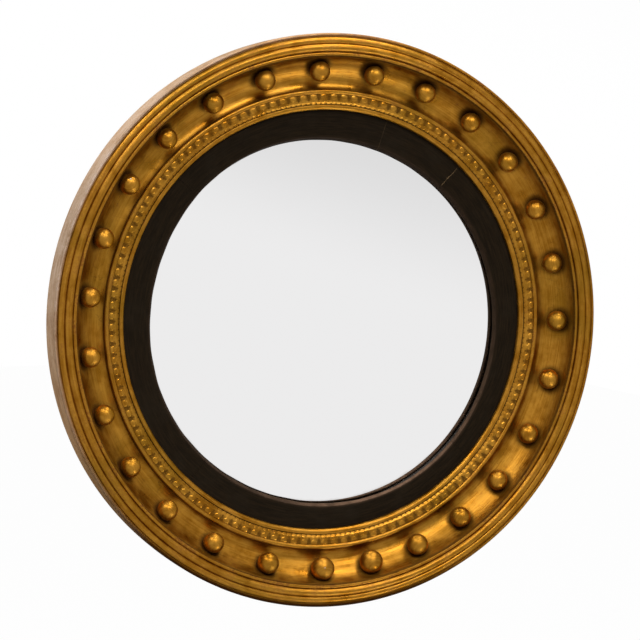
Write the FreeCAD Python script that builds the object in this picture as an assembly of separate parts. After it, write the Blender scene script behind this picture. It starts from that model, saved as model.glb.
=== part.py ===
import FreeCAD
import Part
import math
import os

# Convex mirror in a round gilded frame.
# Row frame in millimetres: +Z up, the glass faces -Y, and the wall plane is y = 0.
# The origin is the centre of the ring on the wall plane.
# A section is drawn as (radius, depth), where depth is the distance from the wall.
# Angles run anticlockwise as seen by someone who looks at the glass, from +X.

ORIGIN = FreeCAD.Vector(0, 0, 0)
FACING = FreeCAD.Vector(0, -1, 0)

# Overall
RIM_OUTER_R = 279.0
SLIP_PLANE = 34.0

# Carcass: six glued pine segments
CARCASS_SEGMENTS = 6
CARCASS_FIRST_JOINT = 30.0
CARCASS_OUTER_R = 261.0
CARCASS_BORE_R = 200.0
CARCASS_DEPTH = 24.0
WALL_RING_INNER_R = 250.0
HANGER_LEDGE_DEPTH = 9.0
REBATE_R = 214.0

# Backboard: three planks, screwed into the rebate
BACKBOARD_THICKNESS = 8.0
BACKBOARD_R = REBATE_R - 0.5
PLANK_JOINT_X = 71.5
PLANK_GAP = 0.5
PLANK_SCREW_R = 207.0
PLANK_SCREW_ANGLES = {
    "left": (125.0, 170.0, 190.0, 235.0),
    "centre": (78.0, 102.0, 258.0, 282.0),
    "right": (-55.0, -10.0, 10.0, 55.0),
}
PLANK_SCREW_HEAD_R = 4.0
PLANK_SCREW_SHANK_R = 1.75
PLANK_SCREW_HEAD_DEPTH = 2.6
PLANK_SCREW_LENGTH = 13.0
PLANK_SLOT_TURN = 35.0
SCREW_SLOT_WIDTH = 0.8
SCREW_SLOT_DEPTH = 0.7

# Cove: a quarter hollow that rises from the slip plane to the rim
COVE_FOOT_R = 226.0
COVE_RADIUS = 31.0
COVE_TOP_DEPTH = 60.9
BEAD_CROWN = (258.9, 62.2)
BEAD_OUTER_DEPTH = 61.0

# Rim: two reeds, a narrow groove, a thin bead at the edge and a plain side
REED_A_CROWN = (265.0, 64.6)
REED_A_END = (268.9, 60.2)
REED_B_CROWN = (272.0, 63.3)
REED_B_END = (275.1, 60.4)
EDGE_GROOVE_BOTTOM = ((275.4, 59.0), (275.9, 59.0))
EDGE_BEAD_START = (276.2, 60.2)
EDGE_BEAD_CROWN = (277.6, 61.5)
EDGE_BEAD_END = (278.9, 60.2)
RIM_BACK_DEPTH = 28.0
RIM_BACK_R = 278.5
RIM_WIDEST_DEPTH = 48.0

# Balls in the cove
BALL_COUNT = 27
BALL_R = 9.9
BALL_RING_R = 242.8
BALL_DEPTH = SLIP_PLANE + 15.4
BALL_FIRST_ANGLE = 93.0
BALL_SEAT_MARGIN = 1.6
PIN_R = 1.2
PIN_IN_BALL = 6.0
PIN_IN_COVE = 7.0

# The balls were set by eye: two runs of them stand a little off an even spacing.
# Each run is (most that a ball is off, in degrees; number of its middle ball; spread in balls).
BALL_DRIFTS = ((-2.6, 9.6, 2.6), (1.5, 14.3, 1.3))

# They are turned by hand too: those at the bottom of the ring are larger.
# Each run is (most that a radius gains; number of its middle ball; spread in balls).
BALL_GAINS = ((0.5, 11.5, 4.0), (1.6, 13.6, 1.3))

# Inner moulding
MOULDING_LIP_R = 205.9
MOULDING_LIP_TOP = SLIP_PLANE + 1.2
MOULDING_SLIP_R = 212.0
INNER_FILLET_CROWN = (207.6, SLIP_PLANE + 4.3)
INNER_FILLET_END = (210.5, SLIP_PLANE + 4.6)
OUTER_FILLET_START_DEPTH = SLIP_PLANE + 6.8
OUTER_FILLET_CROWN = (223.6, SLIP_PLANE + 7.9)
OUTER_FILLET_END = (225.8, SLIP_PLANE + 6.6)
FILLET_FOOT_DEPTH = SLIP_PLANE + 6.0
STRIP_INNER_R = 211.2
STRIP_OUTER_R = 221.3
STRIP_SEAT_DEPTH = SLIP_PLANE + 3.4
STRIP_INNER_DEPTH = SLIP_PLANE + 4.6
STRIP_CROWN = (216.0, SLIP_PLANE + 7.0)
STRIP_OUTER_DEPTH = SLIP_PLANE + 7.2
STRIP_COUNT = 5
STRIP_FIRST_JOINT = 54.0
STRIP_SIDE_GAP = 0.1

# Slip between the moulding and the glass
SLIP_COUNT = 4
SLIP_FIRST_JOINT = 47.0
SLIP_OUTER_R = 211.8
SLIP_OUTER_DEPTH = SLIP_PLANE - 0.1
SLIP_UNDER_LIP_DEPTH = SLIP_PLANE - 0.6
SLIP_BLANK_R = 172.0
SLIP_BLANK_DEPTH = 30.0
SLIP_BACK_START_R = 190.5
SLIP_BACK_LEAN = 0.2
BRAD_COUNT = 12
BRAD_FIRST_ANGLE = 15.0
BRAD_CIRCLE_R = 208.6
BRAD_R = 0.8
BRAD_DEPTHS = (18.5, 32.5)

# The slip's opening was bevelled by hand: it is a little oval and off the ring's centre.
# Each oval is (mean radius, what its long half-axis gains, depth).
OPENING_CENTRE = FreeCAD.Vector(1.5, 0, -2.8)
OPENING_LONG_AXIS = 131.0
SIGHT_OVAL = (180.0, 2.1, 27.7)
BEVEL_OVAL = (181.9, 1.4, 31.0)

# Glass: part of a hollow sphere, silvered on its back
GLASS_R = 189.0
GLASS_THICKNESS = 3.0
GLASS_APEX_DEPTH = 45.0
SPHERE_R = 811.0
PACKING_R = (186.4, 188.8)
BLOCK_COUNT = 12
BLOCK_SWEEP = 8.0
BLOCK_INNER_R = 183.0
BLOCK_LIP_R = 189.4
BLOCK_LIP_DEPTH = 22.0
BLOCK_TOP_DEPTH = 23.8
BLOCK_BACK_DEPTH = 17.4

# Hangers: a strap with an eye, and a D-ring that swings in it
HANGER_Z = 88.0
EYE_X = 201.5
STRAP_THICKNESS = 1.2
STRAP_WIDTH = 14.0
STRAP_END_X = 229.5
RING_WIRE_R = 1.5
RING_CLEARANCE = 0.1
RING_BAR_HALF = 8.0
RING_CORNER_R = 3.0
EYE_BORE_R = RING_WIRE_R + RING_CLEARANCE
EYE_OUTER_R = EYE_BORE_R + STRAP_THICKNESS
EYE_DEPTH = HANGER_LEDGE_DEPTH - EYE_OUTER_R
HANGER_SCREW_X = (211.5, 223.0)
HANGER_SCREW_HEAD_R = 3.3
HANGER_SCREW_HEAD_HEIGHT = 1.6
HANGER_SCREW_HEAD_BULGE = 0.72
HANGER_SCREW_SHANK_R = 1.6
HANGER_SCREW_LENGTH = 12.0
HANGER_SLOT_TURN = 60.0


def outline(start, *steps):
    """Closed face from (radius, depth) points; a pair of points is an arc: through, end."""
    def vector(point):
        return FreeCAD.Vector(point[0], -point[1], 0)

    edges = []
    here = start
    last = steps[-1][-1] if isinstance(steps[-1][0], tuple) else steps[-1]
    closing = () if last == start else (start,)
    for step in steps + closing:
        if isinstance(step[0], tuple):
            through, end = step
            edges.append(Part.Arc(vector(here), vector(through), vector(end)).toShape())
        else:
            end = step
            edges.append(Part.LineSegment(vector(here), vector(end)).toShape())
        here = end
    return Part.Face(Part.Wire(edges))


def turned(section, first_angle=0.0, sweep=360.0):
    """Solid made by turning a section about the ring's axis."""
    solid = section.revolve(ORIGIN, FACING, sweep)
    solid.rotate(ORIGIN, FACING, first_angle)
    return solid


def copies_at(shape, angles):
    """Copies of a shape built at angle 0, turned to each angle."""
    result = []
    for angle in angles:
        copy = shape.copy()
        copy.rotate(ORIGIN, FACING, angle)
        result.append(copy)
    return result


def even_angles(count, first=0.0):
    return [first + index * 360.0 / count for index in range(count)]


def rod(radius, start, end):
    """Round rod between two points."""
    return Part.makeCylinder(radius, (end - start).Length, start, end - start)


def backwards_rod(radius, at_radius, depths):
    """Rod at angle 0 that runs along the depth direction between two depths."""
    start = FreeCAD.Vector(at_radius, -depths[0], 0)
    end = FreeCAD.Vector(at_radius, -depths[1], 0)
    return rod(radius, start, end)


def sphere_depth(radius, apex_depth, sphere_radius):
    """Depth of a domed surface at a radius from its apex."""
    return apex_depth - sphere_radius + math.sqrt(sphere_radius ** 2 - radius ** 2)


def run_total(runs, index):
    """Sum of smooth bumps over the ring's balls, for the ball with this number."""
    return sum(most * math.exp(-((index - middle) / spread) ** 2) for most, middle, spread in runs)


def ball_angles():
    """Angles of the balls, clockwise from the top one."""
    step = 360.0 / BALL_COUNT
    return [BALL_FIRST_ANGLE - index * step + run_total(BALL_DRIFTS, index) for index in range(BALL_COUNT)]


def ball_radii():
    return [BALL_R + run_total(BALL_GAINS, index) for index in range(BALL_COUNT)]


def ball_centre():
    return FreeCAD.Vector(BALL_RING_R, -BALL_DEPTH, 0)


def hollow_centre():
    """Centre of the cove's quarter circle at angle 0."""
    return FreeCAD.Vector(COVE_FOOT_R, -(SLIP_PLANE + COVE_RADIUS), 0)


def cove_direction():
    """Unit vector at angle 0 from a ball's centre straight to the cove."""
    return (ball_centre() - hollow_centre()).normalize()


def ball_flat_distance():
    """Distance from a ball's centre to its flat, which meets the bottom of the cove."""
    return COVE_RADIUS - (ball_centre() - hollow_centre()).Length


def ball_flat():
    """Middle of a ball's flat at angle 0."""
    return ball_centre() + cove_direction() * ball_flat_distance()


def pin_at_zero():
    start = ball_flat() - cove_direction() * PIN_IN_BALL
    end = ball_flat() + cove_direction() * PIN_IN_COVE
    return rod(PIN_R, start, end)


def with_slot(screw, head_r, top_depth, turn):
    """Screw on the ring's axis with a straight slot across its head."""
    slot = Part.makeBox(3.0 * head_r, SCREW_SLOT_DEPTH, SCREW_SLOT_WIDTH)
    slot.translate(FreeCAD.Vector(-1.5 * head_r, -top_depth - SCREW_SLOT_DEPTH, -0.5 * SCREW_SLOT_WIDTH))
    slot.rotate(ORIGIN, FACING, turn)
    return screw.cut(slot)


def plank_screw(slotted):
    """Countersunk screw at angle 0, driven from the back; the head is flush with the planks."""
    back = HANGER_LEDGE_DEPTH
    neck = back + PLANK_SCREW_HEAD_DEPTH
    tip = back + PLANK_SCREW_LENGTH
    section = outline(
        (0.0, back),
        (PLANK_SCREW_HEAD_R, back),
        (PLANK_SCREW_SHANK_R, neck),
        (PLANK_SCREW_SHANK_R, tip - PLANK_SCREW_SHANK_R),
        (0.0, tip),
    )
    screw = section.revolve(ORIGIN, FACING, 360.0)
    if slotted:
        screw = with_slot(screw, PLANK_SCREW_HEAD_R, back, PLANK_SLOT_TURN)
    screw.translate(FreeCAD.Vector(PLANK_SCREW_R, 0, 0))
    return screw


def plank_screws(slotted, planks=("left", "centre", "right")):
    angles = [angle for name in planks for angle in PLANK_SCREW_ANGLES[name]]
    return copies_at(plank_screw(slotted), angles)


def hanger_screw(x, slotted):
    """Round-head screw on the strap of the right-hand hanger."""
    under_head = HANGER_LEDGE_DEPTH - STRAP_THICKNESS
    crown = under_head - HANGER_SCREW_HEAD_HEIGHT
    tip = under_head + HANGER_SCREW_LENGTH
    shoulder = (HANGER_SCREW_HEAD_R * HANGER_SCREW_HEAD_BULGE,
                under_head - HANGER_SCREW_HEAD_HEIGHT * HANGER_SCREW_HEAD_BULGE)
    section = outline(
        (0.0, crown),
        (shoulder, (HANGER_SCREW_HEAD_R, under_head)),
        (HANGER_SCREW_SHANK_R, under_head),
        (HANGER_SCREW_SHANK_R, tip - HANGER_SCREW_SHANK_R),
        (0.0, tip),
    )
    screw = section.revolve(ORIGIN, FACING, 360.0)
    if slotted:
        screw = with_slot(screw, HANGER_SCREW_HEAD_R, crown, HANGER_SLOT_TURN)
    screw.translate(FreeCAD.Vector(x, 0, HANGER_Z))
    return screw


def on_the_left(shape):
    """Mirror image on the other side of the centre."""
    return shape.mirror(ORIGIN, FreeCAD.Vector(1, 0, 0))


def all_hanger_screws(slotted):
    right = [hanger_screw(x, slotted) for x in HANGER_SCREW_X]
    return right + [on_the_left(screw) for screw in right]


def brads():
    brad = backwards_rod(BRAD_R, BRAD_CIRCLE_R, BRAD_DEPTHS)
    return copies_at(brad, even_angles(BRAD_COUNT, BRAD_FIRST_ANGLE))


def carcass_segments():
    section = outline(
        (WALL_RING_INNER_R, 0.0),
        (CARCASS_OUTER_R, 0.0),
        (CARCASS_OUTER_R, CARCASS_DEPTH),
        (CARCASS_BORE_R, CARCASS_DEPTH),
        (CARCASS_BORE_R, HANGER_LEDGE_DEPTH + BACKBOARD_THICKNESS),
        (REBATE_R, HANGER_LEDGE_DEPTH + BACKBOARD_THICKNESS),
        (REBATE_R, HANGER_LEDGE_DEPTH),
        (WALL_RING_INNER_R, HANGER_LEDGE_DEPTH),
    )
    holes = brads() + plank_screws(False) + all_hanger_screws(False)
    nodes = {}
    sweep = 360.0 / CARCASS_SEGMENTS
    for index, angle in enumerate(even_angles(CARCASS_SEGMENTS, CARCASS_FIRST_JOINT)):
        segment = turned(section, angle, sweep)
        near = [hole for hole in holes if segment.BoundBox.intersect(hole.BoundBox)]
        nodes["carcass_segment_%d" % (index + 1)] = segment.cut(near)
    return nodes


def cove_ring():
    top_angle = math.acos((SLIP_PLANE + COVE_RADIUS - COVE_TOP_DEPTH) / COVE_RADIUS)

    def hollow(angle):
        radius = COVE_FOOT_R + COVE_RADIUS * math.sin(angle)
        depth = SLIP_PLANE + COVE_RADIUS - COVE_RADIUS * math.cos(angle)
        return (radius, depth)

    section = outline(
        (COVE_FOOT_R, CARCASS_DEPTH),
        (COVE_FOOT_R, SLIP_PLANE),
        (hollow(top_angle / 2.0), hollow(top_angle)),
        (BEAD_CROWN, (CARCASS_OUTER_R, BEAD_OUTER_DEPTH)),
        (CARCASS_OUTER_R, CARCASS_DEPTH),
    )
    cutters = []
    for angle, radius in zip(ball_angles(), ball_radii()):
        seat_r = math.sqrt(radius ** 2 - ball_flat_distance() ** 2) + BALL_SEAT_MARGIN
        seat = rod(seat_r, ball_flat(), ball_flat() - cove_direction() * seat_r)
        cutters += copies_at(seat.fuse(pin_at_zero()), [angle])
    return turned(section).cut(cutters)


def balls():
    """Balls with a flat and a pin hole, numbered clockwise from the top."""
    nodes = {}
    for index, (angle, radius) in enumerate(zip(ball_angles(), ball_radii())):
        latitude = -math.degrees(math.asin(ball_flat_distance() / radius))
        ball = Part.makeSphere(radius, ball_centre(), cove_direction() * -1.0, latitude, 90.0, 360.0)
        ball = ball.cut(pin_at_zero())
        nodes["ball_%02d" % (index + 1)] = copies_at(ball, [angle])[0]
    return nodes


def ball_pins():
    return Part.makeCompound(copies_at(pin_at_zero(), ball_angles()))


def reeded_rim():
    section = outline(
        (CARCASS_OUTER_R, RIM_BACK_DEPTH),
        (CARCASS_OUTER_R, BEAD_OUTER_DEPTH),
        (REED_A_CROWN, REED_A_END),
        (REED_B_CROWN, REED_B_END),
        EDGE_GROOVE_BOTTOM[0],
        EDGE_GROOVE_BOTTOM[1],
        EDGE_BEAD_START,
        (EDGE_BEAD_CROWN, EDGE_BEAD_END),
        ((RIM_OUTER_R, RIM_WIDEST_DEPTH), (RIM_BACK_R, RIM_BACK_DEPTH)),
    )
    return turned(section)


def inner_moulding():
    section = outline(
        (MOULDING_LIP_R, SLIP_PLANE),
        (MOULDING_LIP_R, MOULDING_LIP_TOP),
        (INNER_FILLET_CROWN, INNER_FILLET_END),
        (STRIP_INNER_R, STRIP_SEAT_DEPTH),
        (STRIP_OUTER_R, STRIP_SEAT_DEPTH),
        (STRIP_OUTER_R, OUTER_FILLET_START_DEPTH),
        (OUTER_FILLET_CROWN, OUTER_FILLET_END),
        (COVE_FOOT_R, FILLET_FOOT_DEPTH),
        (COVE_FOOT_R, CARCASS_DEPTH),
        (MOULDING_SLIP_R, CARCASS_DEPTH),
        (MOULDING_SLIP_R, SLIP_PLANE),
    )
    return turned(section)


def ornament_strips():
    inner = STRIP_INNER_R + STRIP_SIDE_GAP
    outer = STRIP_OUTER_R - STRIP_SIDE_GAP
    section = outline(
        (inner, STRIP_SEAT_DEPTH),
        (inner, STRIP_INNER_DEPTH),
        (STRIP_CROWN, (outer, STRIP_OUTER_DEPTH)),
        (outer, STRIP_SEAT_DEPTH),
    )
    nodes = {}
    for index, angle in enumerate(even_angles(STRIP_COUNT, STRIP_FIRST_JOINT)):
        nodes["ornament_strip_%d" % (index + 1)] = turned(section, angle, 360.0 / STRIP_COUNT)
    return nodes


def slip_back_depth(radius):
    """Depth of the slip's back face, which leans forward towards the glass."""
    return CARCASS_DEPTH + SLIP_BACK_LEAN * (SLIP_BACK_START_R - radius)


def opening_wire(oval, depth):
    """One of the opening's ovals, at a depth of its own."""
    radius, gain = oval[:2]
    turn = math.radians(OPENING_LONG_AXIS)
    centre = OPENING_CENTRE + FreeCAD.Vector(0, -depth, 0)
    long_end = centre + FreeCAD.Vector(math.cos(turn), 0, math.sin(turn)) * (radius + gain)
    short_end = centre + FreeCAD.Vector(-math.sin(turn), 0, math.cos(turn)) * (radius - gain)
    return Part.Wire([Part.Ellipse(long_end, short_end, centre).toShape()])


def slip_opening():
    """What the bevelled opening takes away: straight at the back, then flaring to the front."""
    return Part.makeLoft([
        opening_wire(SIGHT_OVAL, CARCASS_DEPTH),
        opening_wire(SIGHT_OVAL, SIGHT_OVAL[2]),
        opening_wire(BEVEL_OVAL, BEVEL_OVAL[2]),
        opening_wire(BEVEL_OVAL, SLIP_PLANE),
    ], True, True)


def slip_segments():
    section = outline(
        (SLIP_BLANK_R, slip_back_depth(SLIP_BLANK_R)),
        (SLIP_BLANK_R, SLIP_BLANK_DEPTH),
        (MOULDING_LIP_R, SLIP_UNDER_LIP_DEPTH),
        (SLIP_OUTER_R, SLIP_OUTER_DEPTH),
        (SLIP_OUTER_R, CARCASS_DEPTH),
        (SLIP_BACK_START_R, CARCASS_DEPTH),
    )
    cutters = [slip_opening()] + brads()
    nodes = {}
    sweep = 360.0 / SLIP_COUNT
    for index, angle in enumerate(even_angles(SLIP_COUNT, SLIP_FIRST_JOINT)):
        nodes["slip_segment_%d" % (index + 1)] = turned(section, angle, sweep).cut(cutters)
    return nodes


def mirror_glass():
    back_apex = GLASS_APEX_DEPTH - GLASS_THICKNESS
    back_sphere = SPHERE_R - GLASS_THICKNESS
    half = GLASS_R / 2.0
    section = outline(
        (0.0, back_apex),
        (0.0, GLASS_APEX_DEPTH),
        ((half, sphere_depth(half, GLASS_APEX_DEPTH, SPHERE_R)),
         (GLASS_R, sphere_depth(GLASS_R, GLASS_APEX_DEPTH, SPHERE_R))),
        (GLASS_R, sphere_depth(GLASS_R, back_apex, back_sphere)),
        ((half, sphere_depth(half, back_apex, back_sphere)), (0.0, back_apex)),
    )
    return turned(section)


def glass_packing():
    inner, outer = PACKING_R
    section = outline(
        (inner, BLOCK_LIP_DEPTH),
        (inner, slip_back_depth(inner)),
        (outer, slip_back_depth(outer)),
        (outer, BLOCK_LIP_DEPTH),
    )
    return turned(section).cut(mirror_glass())


def glass_blocks():
    section = outline(
        (BLOCK_INNER_R, BLOCK_BACK_DEPTH),
        (BLOCK_INNER_R, BLOCK_LIP_DEPTH),
        (BLOCK_LIP_R, BLOCK_LIP_DEPTH),
        (BLOCK_LIP_R, BLOCK_TOP_DEPTH),
        (CARCASS_BORE_R, BLOCK_TOP_DEPTH),
        (CARCASS_BORE_R, BLOCK_BACK_DEPTH),
    )
    block = turned(section, -0.5 * BLOCK_SWEEP, BLOCK_SWEEP).cut(mirror_glass())
    return Part.makeCompound(copies_at(block, even_angles(BLOCK_COUNT)))


def backboard_plank(name, low_x, high_x):
    front = HANGER_LEDGE_DEPTH + BACKBOARD_THICKNESS
    disc = Part.makeCylinder(BACKBOARD_R, BACKBOARD_THICKNESS, FreeCAD.Vector(0, -front, 0),
                             FreeCAD.Vector(0, 1, 0))
    strip = Part.makeBox(high_x - low_x, BACKBOARD_THICKNESS, 2.0 * BACKBOARD_R)
    strip.translate(FreeCAD.Vector(low_x, -front, -BACKBOARD_R))
    return disc.common(strip).cut(plank_screws(False, (name,)))


def backboard():
    inner = PLANK_JOINT_X - 0.5 * PLANK_GAP
    outer = PLANK_JOINT_X + 0.5 * PLANK_GAP
    return {
        "backboard_left": backboard_plank("left", -BACKBOARD_R, -outer),
        "backboard_centre": backboard_plank("centre", -inner, inner),
        "backboard_right": backboard_plank("right", outer, BACKBOARD_R),
    }


def hanger_strap():
    """Right-hand strap: a plate on the ledge, rolled into an eye at its inner end."""
    length = STRAP_END_X - EYE_X
    plate = Part.makeBox(length, STRAP_THICKNESS, STRAP_WIDTH)
    plate.translate(FreeCAD.Vector(EYE_X, -HANGER_LEDGE_DEPTH, HANGER_Z - 0.5 * STRAP_WIDTH))
    low = FreeCAD.Vector(EYE_X, -EYE_DEPTH, HANGER_Z - 0.5 * STRAP_WIDTH)
    high = FreeCAD.Vector(EYE_X, -EYE_DEPTH, HANGER_Z + 0.5 * STRAP_WIDTH)
    eye = rod(EYE_OUTER_R, low, high)
    bore = rod(EYE_BORE_R, low, high)
    strap = plate.fuse(eye).removeSplitter()
    return strap.cut([bore] + [hanger_screw(x, False) for x in HANGER_SCREW_X])


def hanger_ring():
    """Right-hand D-ring: its bar lies in the eye and its bow points to the centre."""
    def place(inward, up):
        return FreeCAD.Vector(EYE_X - inward, -EYE_DEPTH, HANGER_Z + up)

    bow = RING_BAR_HALF + RING_CORNER_R
    turn = RING_CORNER_R * (1.0 - math.sqrt(0.5))
    path = Part.Wire([
        Part.LineSegment(place(0, -RING_BAR_HALF), place(0, RING_BAR_HALF)).toShape(),
        Part.Arc(place(0, RING_BAR_HALF), place(turn, bow - turn),
                 place(RING_CORNER_R, bow)).toShape(),
        Part.Arc(place(RING_CORNER_R, bow), place(RING_CORNER_R + bow, 0),
                 place(RING_CORNER_R, -bow)).toShape(),
        Part.Arc(place(RING_CORNER_R, -bow), place(turn, turn - bow),
                 place(0, -RING_BAR_HALF)).toShape(),
    ])
    wire_end = Part.Circle(place(0, 0), FreeCAD.Vector(0, 0, 1), RING_WIRE_R).toShape()
    wire_end.translate(FreeCAD.Vector(0, 0, -RING_BAR_HALF))
    return path.makePipeShell([Part.Wire([wire_end])], True, False)


def all_nodes():
    nodes = {}
    nodes.update(carcass_segments())
    nodes["cove_ring"] = cove_ring()
    nodes["reeded_rim"] = reeded_rim()
    nodes["inner_moulding"] = inner_moulding()
    nodes.update(ornament_strips())
    nodes.update(slip_segments())
    nodes["slip_brads"] = Part.makeCompound(brads())
    nodes["mirror_glass"] = mirror_glass()
    nodes["glass_packing"] = glass_packing()
    nodes["glass_blocks"] = glass_blocks()
    nodes.update(backboard())
    nodes["backboard_screws"] = Part.makeCompound(plank_screws(True))
    nodes.update(balls())
    nodes["ball_pins"] = ball_pins()
    nodes["hanger_strap_right"] = hanger_strap()
    nodes["hanger_strap_left"] = on_the_left(hanger_strap())
    nodes["hanger_ring_right"] = hanger_ring()
    nodes["hanger_ring_left"] = on_the_left(hanger_ring())
    nodes["hanger_screws"] = Part.makeCompound(all_hanger_screws(True))
    return nodes


def main():
    os.makedirs("parts", exist_ok=True)
    for name, shape in all_nodes().items():
        print("%-20s solids %3d  valid %s  volume %.1f" % (
            name, len(shape.Solids), shape.isValid(), shape.Volume))
        shape.exportStep("parts/%s.step" % name)


main()
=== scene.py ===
import math
import bpy
import numpy as np
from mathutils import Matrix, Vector


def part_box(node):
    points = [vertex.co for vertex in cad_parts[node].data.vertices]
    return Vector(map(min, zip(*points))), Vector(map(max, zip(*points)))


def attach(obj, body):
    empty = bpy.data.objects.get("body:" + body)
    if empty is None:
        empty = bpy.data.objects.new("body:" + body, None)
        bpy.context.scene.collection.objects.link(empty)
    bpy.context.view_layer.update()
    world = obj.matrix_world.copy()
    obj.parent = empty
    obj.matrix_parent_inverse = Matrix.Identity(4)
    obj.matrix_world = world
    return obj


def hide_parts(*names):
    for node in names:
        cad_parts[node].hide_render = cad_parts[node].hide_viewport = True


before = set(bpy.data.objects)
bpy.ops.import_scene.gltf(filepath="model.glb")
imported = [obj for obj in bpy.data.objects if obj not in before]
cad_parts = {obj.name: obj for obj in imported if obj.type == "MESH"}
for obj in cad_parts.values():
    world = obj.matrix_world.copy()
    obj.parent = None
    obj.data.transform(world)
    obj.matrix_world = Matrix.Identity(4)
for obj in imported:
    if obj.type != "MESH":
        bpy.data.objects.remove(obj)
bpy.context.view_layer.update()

# The mirror faces -Y and hangs on the plane y = 0.
# A section is drawn in millimetres as (radius, depth), where depth is the distance from the wall.
# Angles run anticlockwise as seen from the front, from +X.
MM = 0.001
ROOT = "frame"
FINE = 0.6
COARSE = 2.2
RING_STEPS = 720

RIM_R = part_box("reeded_rim")[1].x / MM
SLIP_PLANE = 34.0
CARCASS_DEPTH = 24.0
CARCASS_R = 261.0
RIM_BACK_DEPTH = 28.0

COVE_FOOT_R = 226.0
COVE_RADIUS = 31.0
COVE_CENTRE = (COVE_FOOT_R, SLIP_PLANE + COVE_RADIUS)
COVE_TOP_DEPTH = 60.9
SCOOP_RISE = 4.2
SCOOP_END = 0.36
BEAD_OUTER_DEPTH = 61.0

BALL_COUNT = 27
BALL_RING_R = 242.8
BALL_DEPTH = SLIP_PLANE + 15.4
BALL_SKIN = 0.992

STRIP_COUNT = 5
STRIP_REPEATS = 26
STRIP_FIRST_JOINT = 54.0
STRIP_INNER_R = 211.3
STRIP_OUTER_R = 221.2
STRIP_SEAT_DEPTH = SLIP_PLANE + 3.4

SLIP_COUNT = 4
SLIP_FIRST_JOINT = 47.0
SLIP_JOINT_GAP = 0.06
HAIRLINE_ANGLE = 72.0
SIGHT_R = 180.0
BEVEL_R = 181.9
LIP_R = 205.9
OPENING_CENTRE = (1.5, -2.8)
OPENING_LONG_AXIS = 131.0

GLASS_R = 189.0
GLASS_THICKNESS = 3.0
GLASS_APEX_DEPTH = -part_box("mirror_glass")[0].y / MM
GLASS_SPHERE_R = 811.0

WORLD_LIGHT = 0.14
OVERHEAD = (0.35, 0.0, 0.94)
OVERHEAD_WHITE = 0.84
FLOOR_SHOWN_WHITE = 0.98


# Sections ---------------------------------------------------------------------------------

def sample_line(start, end, spacing):
    start, end = np.array(start), np.array(end)
    count = max(1, int(round(np.linalg.norm(end - start) / spacing)))
    return [start + (end - start) * k / count for k in range(1, count + 1)]


def sample_arc(start, through, end, spacing):
    """Points along the circle through three points, without the first."""
    a, b, c = (complex(*p) for p in (start, through, end))
    w = (c - a) / (b - a)
    centre = (b - a) * (w - abs(w) ** 2) / (2j * w.imag) + a
    radius = abs(a - centre)
    first = math.atan2((a - centre).imag, (a - centre).real)
    middle = math.atan2((b - centre).imag, (b - centre).real)
    last = math.atan2((c - centre).imag, (c - centre).real)
    turn = (last - first) % math.tau
    if (middle - first) % math.tau > turn:
        turn -= math.tau
    count = max(3, int(round(abs(turn) * radius / spacing)))
    angles = [first + turn * k / count for k in range(1, count + 1)]
    return [np.array((centre.real + radius * math.cos(t), centre.imag + radius * math.sin(t)))
            for t in angles]


def section(start, *steps):
    """Closed section; a step is a point, or a pair (through, end) for an arc."""
    points = []
    here = start
    for step in steps + (start,):
        if isinstance(step[0], tuple):
            points += sample_arc(here, step[0], step[1], FINE)
            here = step[1]
        else:
            points += sample_line(here, step, COARSE)
            here = step
    return np.array(points)


def standing_out(points, reach):
    """Per point: positive on a crown or edge, negative in a groove, about -1 to 1."""
    following = np.roll(points, -1, axis=0)
    lengths = np.linalg.norm(following - points, axis=1)
    along = np.concatenate([[0.0], np.cumsum(lengths)])
    total = along[-1]
    even = np.arange(0.0, total, 0.25)
    closed = np.vstack([points, points[:1]])
    fine = np.stack([np.interp(even, along, closed[:, k]) for k in (0, 1)], axis=1)
    offsets = np.arange(len(even))
    offsets = np.minimum(offsets, len(even) - offsets) * 0.25
    weight = np.exp(-0.5 * (offsets / reach) ** 2)
    weight /= weight.sum()
    spectrum = np.fft.fft(weight)
    smooth = np.stack([np.fft.ifft(np.fft.fft(fine[:, k]) * spectrum).real for k in (0, 1)], axis=1)
    tangent = np.roll(fine, -1, axis=0) - np.roll(fine, 1, axis=0)
    tangent /= np.linalg.norm(tangent, axis=1)[:, None] + 1e-9
    normal = np.stack([tangent[:, 1], -tangent[:, 0]], axis=1)
    area = np.sum(fine[:, 0] * np.roll(fine[:, 1], -1) - fine[:, 1] * np.roll(fine[:, 0], -1))
    out = np.sum((fine - smooth) * normal, axis=1) * (1.0 if area > 0 else -1.0)
    return np.clip(np.interp(along[:-1], even, out) / (0.45 * reach), -1.0, 1.0)


# Meshes -----------------------------------------------------------------------------------

def finish_mesh(name, vertices, faces, values, sharp_angle=38.0):
    """Object from a vertex array in millimetres, faces, and named values per vertex."""
    mesh = bpy.data.meshes.new(name)
    mesh.from_pydata((vertices * MM).tolist(), [], faces)
    for key, numbers in values.items():
        layer = mesh.attributes.new(key, "FLOAT", "POINT")
        layer.data.foreach_set("value", np.asarray(numbers, dtype=np.float32).ravel())
    mesh.update()
    mesh.polygons.foreach_set("use_smooth", [True] * len(mesh.polygons))
    mesh.set_sharp_from_angle(angle=math.radians(sharp_angle))
    piece = bpy.data.objects.new(name, mesh)
    bpy.context.scene.collection.objects.link(piece)
    return piece


def polar(radius, angle, depth):
    return np.stack([radius * np.cos(angle), -depth, radius * np.sin(angle)], axis=-1)


def harmonics(seed, lowest, highest, count):
    """Smooth random wave round the ring that is also uneven across the section."""
    rng = np.random.RandomState(seed)
    waves = [(rng.randint(lowest, highest), rng.uniform(0.0, math.tau), rng.uniform(-0.6, 0.6),
              rng.uniform(0.4, 1.0)) for _ in range(count)]
    total = sum(wave[3] for wave in waves)

    def wave_at(angle, across):
        result = 0.0
        for turns, phase, skew, size in waves:
            result = result + size * np.cos(turns * angle + phase + skew * across)
        return result / total

    return wave_at


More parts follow.
